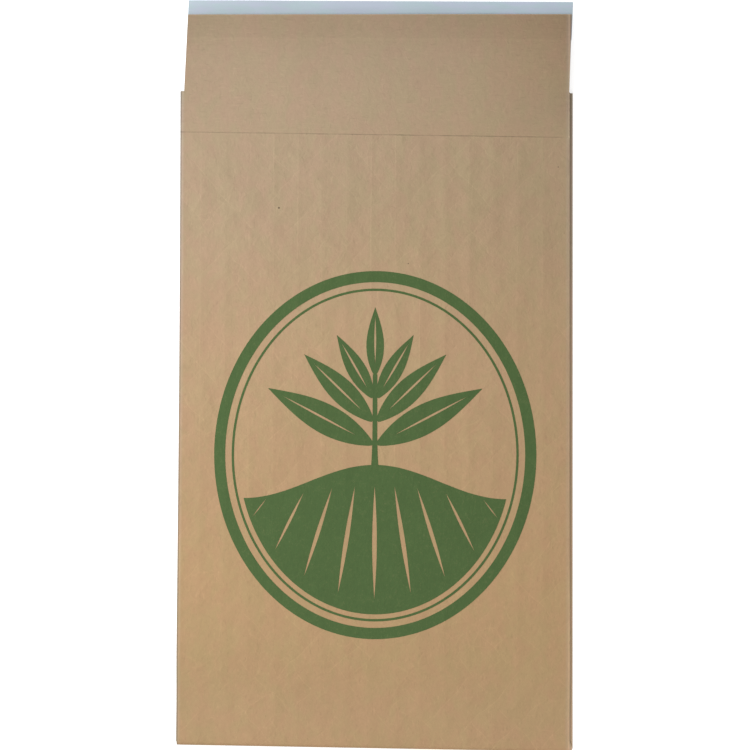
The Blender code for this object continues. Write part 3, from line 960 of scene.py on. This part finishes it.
def crease_web(finish, grain):
    """Creases that the padding presses through the paper, in patches: slanting facets and a finer web.

    Gives the height in metres and a mask of the creases' edges, which the colour lightens as a painted
    highlight.
    """
    x, station = grain.x, grain.station
    wobble = finish.noise((34.0, 34.0, 34.0)) * 0.42
    height, edges = 0.0, 0.0
    for slant, start, shift in FACETS:
        facet = finish.math("PINGPONG", (station + x * slant) / FACET_PITCH + wobble + start, 0.5)
        cloud = finish.noise((30.0, 24.0, 30.0), 2.0, 0.55, shift=shift)
        near = 1.0 - finish.rise(facet, 0.003, 0.018)
        height = facet * finish.rise(cloud, 0.42, 0.62) * FACET_HEIGHT + height
        edges = near * finish.rise(cloud, 0.49, 0.56) * FACET_EDGE_GAIN + edges
    bent = finish.noise((60.0, 60.0, 60.0))
    along = (station + x * WEB_SLANT) * 36.0 + bent * 0.8
    across = (station - x * WEB_SLANT) * 52.0 + bent * 0.6
    slanted = finish.node("ShaderNodeCombineXYZ", {}, {"X": along, "Y": across})
    to_edge = {"feature": "DISTANCE_TO_EDGE"}
    cell = finish.node("ShaderNodeTexVoronoi", to_edge, {"Vector": slanted, "Scale": 1.0})
    crumpled = finish.rise(finish.noise((38.0, 30.0, 36.0)), 0.46, 0.62)
    height = (1.0 - finish.rise(cell, 0.0, 0.20)) * crumpled * WEB_HEIGHT + height
    edges = (1.0 - finish.rise(cell, 0.005, 0.035)) * crumpled + edges
    padded = 1.0 - grain.plain
    return height * padded, edges * padded


def rib_crests(finish, grain, pitch):
    """A mask of the ribs' crests: thin lines along the sleeve that come and go, lightened in the colour as a
    painted highlight and raised a little in the bump.
    """
    off = finish.math("PINGPONG", (grain.x + RIB_START) / pitch + 0.5, 0.5)
    patch = finish.rise(finish.noise((52.0, 11.0, 52.0), 2.0, 0.6), 0.46, 0.62)
    upper = finish.rise(grain.station, 0.08, 0.36)
    return finish.rise(off, 0.455, 0.492) * patch * upper * (1.0 - grain.plain)


def specks(finish, grain):
    """A mask of a few round specks of bark in the front's paper."""
    total = 0.0
    for speck_x, speck_station, radius in SPECKS:
        across, along = grain.x - speck_x, grain.station - speck_station
        away = finish.math("SQRT", across * across + along * along)
        total = 1.0 - finish.rise(away, radius * SPECK_CORE, radius) + total
    return total


def texture_masks(finish, grain, fibre):
    """Masks of the paper's own texture."""
    upright = finish.noise((760.0, 210.0, 760.0), 1.0)
    level = finish.noise((170.0, 800.0, 760.0), 1.0)
    chips = upright + (level - upright) * grain.plain
    return {
        "fibres": grain.fibres * fibre,
        "plain fibres": grain.fibres * grain.plain * fibre,
        "pulp": grain.pulp * fibre,
        "clouds": finish.noise((21.0, 17.0, 20.0), 3.0, 0.55) - 0.5,
        "dark flecks": finish.rise(chips, 0.64, 0.76),
        "pale flecks": 1.0 - finish.rise(chips, 0.25, 0.37),
    }


def line_masks(finish, grain):
    """Masks of the line where the padding ends: a groove darkened as painted shade that fades to the right,
    and a pale band below as a painted highlight.
    """
    groove = finish.band(grain.beyond, (-0.0006, -0.0001), (0.0, 0.0006))
    uneven = finish.noise((120.0, 8.0, 8.0)) * (1.0 - finish.rise(grain.x, 0.1435, 0.1465))
    return {
        "groove": groove * uneven,
        "highlight below groove": finish.band(grain.beyond, (-0.0020, -0.0010), (-0.0010, -0.0006)),
    }


def fold_masks(finish, grain):
    """Masks of the folds at both sides.

    Both are tinted bluer. The left one is darkened as painted shade, and the right one is lightened as a
    painted highlight. The rim is the back's fold beyond it: paled and greyed as painted light, darkened as
    the front fold's painted shadow, with a painted highlight at its outer edge and painted shade towards the
    top.
    """
    x, station = grain.x, grain.station
    drawn_in = finish.band(station, (0.08, 0.30), (0.30, 0.52)) + finish.rise(station, 0.0, 0.10) - 1.0
    left = drawn_in * LEFT_PLAY - x
    rim = finish.rise(x, HALF_WIDTH - 0.0001, HALF_WIDTH + 0.0002)
    return {
        "bluer folds": finish.rise(finish.math("MAXIMUM", x, left), FRONT_EDGE - 0.0034, FRONT_EDGE - 0.0012),
        "left fold shade": finish.rise(left, FRONT_EDGE - 0.0012, FRONT_EDGE - 0.0005),
        "turned": finish.rise(x, FRONT_EDGE - 0.0014, FRONT_EDGE + 0.0001) * (1.0 - rim),
        "rim": rim,
        "rim edge highlight": rim * finish.rise(x, HALF_WIDTH + 0.0008, HALF_WIDTH + 0.0022),
        "rim top shade": rim * finish.rise(station, 0.28, 0.50),
    }


def flap_masks(finish, grain):
    """Masks of the flap: painted shade along its length, darker still towards its end, where the adhesive
    lies behind it, a painted highlight on the step up onto the adhesive, and its cut edge.
    """
    reach = grain.station - BODY_LENGTH
    behind = finish.rise(reach, 0.0415, 0.0432)
    to_cut = reach - grain.x * FLAP_CUT_SLOPE
    return {
        "flap": finish.rise(reach, -0.010, FLAP_LENGTH + 0.02),
        "flap end shade": finish.rise(reach, 0.022, 0.060),
        "over adhesive": behind,
        "adhesive step highlight": finish.rise(reach, 0.0400, 0.0412) - behind,
        "cut edge": finish.rise(to_cut, FLAP_LENGTH - 0.0009, FLAP_LENGTH - 0.0003),
    }


def region_masks(finish, grain):
    """Masks of the slow changes from one region of the sheet to another; the plain band's right end is
    darkened as painted shade.
    """
    x, station = grain.x, grain.station
    off_middle = x * x / HALF_WIDTH**2
    plain_end = finish.rise(grain.beyond, -0.010, 0.030)
    return {
        "yellower below slant": finish.rise(station, 0.02, 0.08) * (1.0 - finish.rise(station - x * 1.2, 0.30, 0.56)),
        "reddish": finish.rise(station, LINE_Y + 0.02, BODY_LENGTH + 0.02) * finish.rise(x, 0.06, 0.14),
        "middle": finish.band(station, (0.06, 0.14), (0.30, 0.42)),
        "middle top": (1.0 - off_middle) * finish.rise(station, 0.15, 0.33),
        "plain sides": plain_end * off_middle * off_middle,
        "plain right shade": plain_end * finish.rise(x, 0.112, 0.150),
    }


def kraft_finish(paper):
    """Natural kraft: a warm brown between pinkish and greenish, with fibres, flecks and soft creases, and
    painted light and shade at the folds, the groove, the creases, the crests, the flap and the back's fold.
    """
    finish = Finish("kraft paper")
    grain = PaperGrain(finish, paper.fibre)
    web, creases = crease_web(finish, grain)
    crests = rib_crests(finish, grain, paper.rib_pitch)
    masks = {"creases": creases, "crests": crests, **texture_masks(finish, grain, paper.fibre)}
    for masks_of in (line_masks, fold_masks, flap_masks, region_masks):
        masks.update(masks_of(finish, grain))
    hue = finish.rise(finish.noise((75.0, 48.0, 60.0), 3.0, 0.6, 0.4), 0.34, 0.66)
    colour = finish.blend(hue, rgba(paper.kraft, PINKISH), rgba(paper.kraft, GREENISH))
    colour = finish.cast(colour, finish.rise(grain.station, -0.02, 0.60), TOP_TINT, FOOT_TINT)
    for name, gain in KRAFT_TINTS.items():
        colour = finish.cast(colour, masks[name], gain)
    tone = 1.0
    for name, share in KRAFT_TONES.items():
        tone = masks[name] * share + tone
    tone = tone * (1.0 - specks(finish, grain) * SPECK_DARKNESS)
    return finish.finished(
        {
            "Base Color": finish.shaded(colour, tone),
            "Roughness": 0.86 + grain.pulp * 0.12,
            "Normal": finish.bump(grain.height + web + crests * CREST_HEIGHT),
            "Specular IOR Level": 0.28,
        }
    )


def ink_finish(settings, paper):
    """Water-based ink soaked into kraft: the paper's grain, with a little kraft left bare in its hollows."""
    finish = Finish("ink on kraft")
    grain = PaperGrain(finish, paper.fibre)
    fine = finish.noise((1300.0, 700.0, 1300.0), 2.0, 0.6)
    bare = finish.rise(fine + grain.pulp * 0.6, 0.52, 0.86) * settings.show_through
    clouds = finish.noise((60.0, 45.0, 60.0), 3.0, 0.55) - 0.5
    colour = finish.blend(bare, rgba(settings.ink), rgba(paper.kraft))
    tone = 1.0 + grain.fibres * 0.22 + grain.pulp * 0.22 + clouds * 0.14
    return finish.finished(
        {
            "Base Color": finish.shaded(colour, tone),
            "Roughness": 0.80 + grain.pulp * 0.14,
            "Normal": finish.bump(grain.height * 0.8),
            "Specular IOR Level": 0.25,
        }
    )


def liner_finish(settings):
    """Silicone-coated release paper: satin, pale blue-grey, with a faint violet drift and fine streaks.

    Its colour is darker towards the flap as painted shade of the flap, and lighter towards its free edge; it
    is also painted darker on the left and lighter on the right.
    """
    finish = Finish("release liner")
    x, station = station_of(finish)
    drifts = finish.noise((24.0, 70.0, 40.0)) - 0.5
    streaks = finish.noise((90.0, 1500.0, 600.0)) - 0.5
    sheen = finish.rise(finish.noise((34.0, 110.0, 60.0), 2.0, 0.6), 0.36, 0.64)
    colour = finish.blend(sheen, rgba(settings.liner, LINER_GREENISH), rgba(settings.liner, LINER_VIOLET))
    # Darker to the left and lighter to the right: painted shade and painted light
    colour = finish.cast(colour, finish.rise(x, -HALF_WIDTH, HALF_WIDTH), LINER_RIGHT_PAINTED_LIGHT, LINER_LEFT_PAINTED_SHADE)
    free = finish.rise(station - BODY_LENGTH, FLAP_LENGTH - 0.002, FLAP_LENGTH + LINER_OVERHANG)
    # free lightens the liner away from the flap: painted light, leaving painted shade near the flap
    tone = 0.91 + drifts * 0.16 + streaks * 0.05 + free * 0.18
    return finish.finished(
        {
            "Base Color": finish.shaded(colour, tone),
            "Roughness": 0.36 + streaks * 0.12,
            "Normal": finish.bump(streaks * 0.000010 + drifts * 0.00020),
            "Specular IOR Level": 0.5,
            "Coat Weight": 0.2,
            "Coat Roughness": 0.3,
        }
    )


def adhesive_finish(settings):
    """Hot-melt adhesive: glossy, amber where it is thick, with the small ripples of its coating."""
    finish = Finish("hot-melt adhesive")
    ripples = finish.noise((140.0, 420.0, 200.0), 3.0)
    thick = finish.rise(ripples, 0.35, 0.75)
    return finish.finished(
        {
            "Base Color": finish.cast(rgba(settings.adhesive), thick, THICK_ADHESIVE),
            "Roughness": 0.16 + ripples * 0.12,
            "Normal": finish.bump((ripples - 0.5) * 0.00008),
            "Specular IOR Level": 0.5,
        }
    )


def floor_finish(settings):
    """A matt white floor that takes shadow, lifted to white for the camera and for what mirrors it."""
    material = bpy.data.materials.new("studio floor")
    nodes = Nodes(material)
    glow = {"Color": rgba(WHITE), "Strength": nodes.seen_directly() * FLOOR_GLOW}
    lift = nodes.node("ShaderNodeEmission", {}, glow)
    matt = nodes.node("ShaderNodeBsdfDiffuse", {}, {"Color": rgba(settings.floor)})
    both = nodes.node("ShaderNodeAddShader", {}, {0: matt, 1: lift})
    nodes.node("ShaderNodeOutputMaterial", {}, {"Surface": both})
    return material


def add_world(ambient):
    """Even light from all round, and plain white where the camera sees past the floor."""
    world = bpy.data.worlds.new("studio")
    bpy.context.scene.world = world
    nodes = Nodes(world)
    light = nodes.node("ShaderNodeBackground", {}, {"Color": rgba(WHITE), "Strength": ambient})
    white = nodes.node("ShaderNodeBackground", {}, {"Color": rgba(WHITE), "Strength": 1.0})
    either = nodes.node("ShaderNodeMixShader", {}, {0: nodes.seen_directly(), 1: light, 2: white})
    nodes.node("ShaderNodeOutputWorld", {}, {"Surface": either})


def add_floor(settings):
    """A square just under the mailer."""
    corners = np.array([(-1, -1, 0), (1, -1, 0), (1, 1, 0), (-1, 1, 0)]) * FLOOR_HALF - (0, 0, FLOOR_DROP)
    mesh = bpy.data.meshes.new("studio_floor")
    mesh.from_pydata(corners.tolist(), [], [(0, 1, 2, 3)])
    mesh.materials.append(floor_finish(settings))
    floor = bpy.data.objects.new("studio_floor", mesh)
    bpy.context.scene.collection.objects.link(floor)


def add_lamp(name, place, size, power, colour):
    """A soft square lamp that faces the middle of the floor."""
    data = bpy.data.lights.new(name, "AREA")
    data.shape = "SQUARE"
    data.size = size
    data.energy = power
    data.color = colour
    lamp = bpy.data.objects.new(name, data)
    lamp.location = place
    lamp.rotation_euler = Vector(place).to_track_quat("Z", "Y").to_euler()
    bpy.context.scene.collection.objects.link(lamp)


def add_camera():
    """The camera straight above, turned by the small angles that the photograph's outline gives."""
    data = bpy.data.cameras.new("camera")
    data.lens = CAMERA_LENS
    data.sensor_width = CAMERA_SENSOR
    camera = bpy.data.objects.new("camera", data)
    camera.rotation_euler = tuple(math.radians(angle) for angle in CAMERA_TURN)
    back = camera.rotation_euler.to_matrix().col[2]
    camera.location = Vector(CAMERA_AIM) + CAMERA_DISTANCE * back
    bpy.context.scene.collection.objects.link(camera)
    bpy.context.scene.camera = camera


class MAILER_OT_stage(bpy.types.Operator):
    """Set up the floor, the soft lamps, the even light and the camera"""

    bl_idname = "mailer.stage"
    bl_label = "Studio"

    def execute(self, context):
        settings = context.scene.mailer_stage
        add_floor(settings)
        for name, place, size, power, colour in LAMPS:
            add_lamp(name, place, size, power * settings.lamps, colour)
        add_world(settings.ambient)
        add_camera()
        context.scene.view_settings.view_transform = "Standard"
        return {"FINISHED"}


class MAILER_PT_pieces(bpy.types.Panel):
    """Lists the mailer's pieces and the stage"""

    bl_idname = "MAILER_PT_pieces"
    bl_label = "Paper mailer"
    bl_space_type = "VIEW_3D"
    bl_region_type = "UI"
    bl_category = "Mailer"

    def draw(self, context):
        for settings, operators in PANEL_ROWS:
            box = self.layout.box()
            group = getattr(context.scene, settings)
            for name in group.__annotations__:
                box.prop(group, name)
            for operator in operators:
                box.operator(operator.bl_idname)


PANEL_ROWS = (
    ("mailer_paper", (MAILER_OT_sheet, MAILER_OT_back_seam)),
    ("mailer_print", (MAILER_OT_print,)),
    ("mailer_closure", (MAILER_OT_closure,)),
    ("mailer_stage", (MAILER_OT_stage,)),
)
SETTINGS = {
    "mailer_paper": MailerPaperSettings,
    "mailer_print": MailerPrintSettings,
    "mailer_closure": MailerClosureSettings,
    "mailer_stage": MailerStageSettings,
}


def register():
    for name, group in SETTINGS.items():
        bpy.utils.register_class(group)
        setattr(bpy.types.Scene, name, bpy.props.PointerProperty(type=group))
    for _, operators in PANEL_ROWS:
        for operator in operators:
            bpy.utils.register_class(operator)
    bpy.utils.register_class(MAILER_PT_pieces)


def unregister():
    bpy.utils.unregister_class(MAILER_PT_pieces)
    for _, operators in reversed(PANEL_ROWS):
        for operator in reversed(operators):
            bpy.utils.unregister_class(operator)
    for name, group in reversed(SETTINGS.items()):
        delattr(bpy.types.Scene, name)
        bpy.utils.unregister_class(group)


def main():
    register()
    bpy.ops.mailer.sheet()
    bpy.ops.mailer.back_seam()
    bpy.ops.mailer.print()
    bpy.ops.mailer.closure()
    bpy.ops.mailer.stage()


if __name__ == "__main__":
    main()
